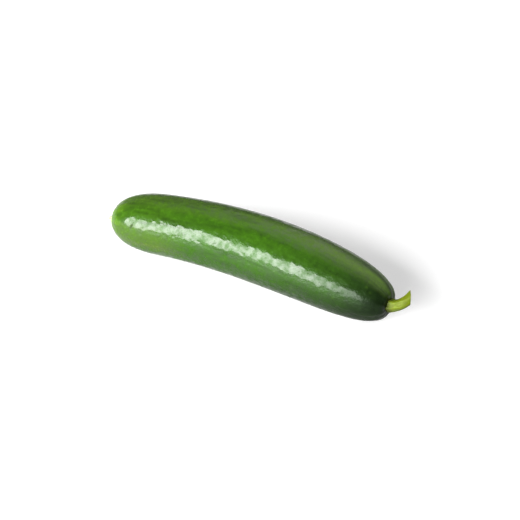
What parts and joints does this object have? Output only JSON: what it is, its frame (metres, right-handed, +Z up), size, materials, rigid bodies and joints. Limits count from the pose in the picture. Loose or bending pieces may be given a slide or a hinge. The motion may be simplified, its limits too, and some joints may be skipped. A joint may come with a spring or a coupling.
{
  "type": "cucumber",
  "caption": "Short, smooth, slightly curved cucumber with a curved cut stem and a dry flower remnant, lying on its side.",
  "frame": {"origin": "on the surface that the cucumber lies on, under the middle of its bounding box", "axes": "+X along the fruit from the blossom end to the stem end, +Z up, and the fruit bows towards +Y"},
  "size_m": [0.1758, 0.0384, 0.0356],
  "materials": {
    "skin": "waxy, glossy green skin, paler at the blossom end and darker at the stem end",
    "stalk": "fibrous, satin yellow-green stalk with a moist cut face",
    "cork": "dry, matte, pale corky remnant"
  },
  "bodies": {
    "root": {"fruit": "skin", "stem": "stalk", "blossom_scar": "cork"}
  },
  "joints": []
}
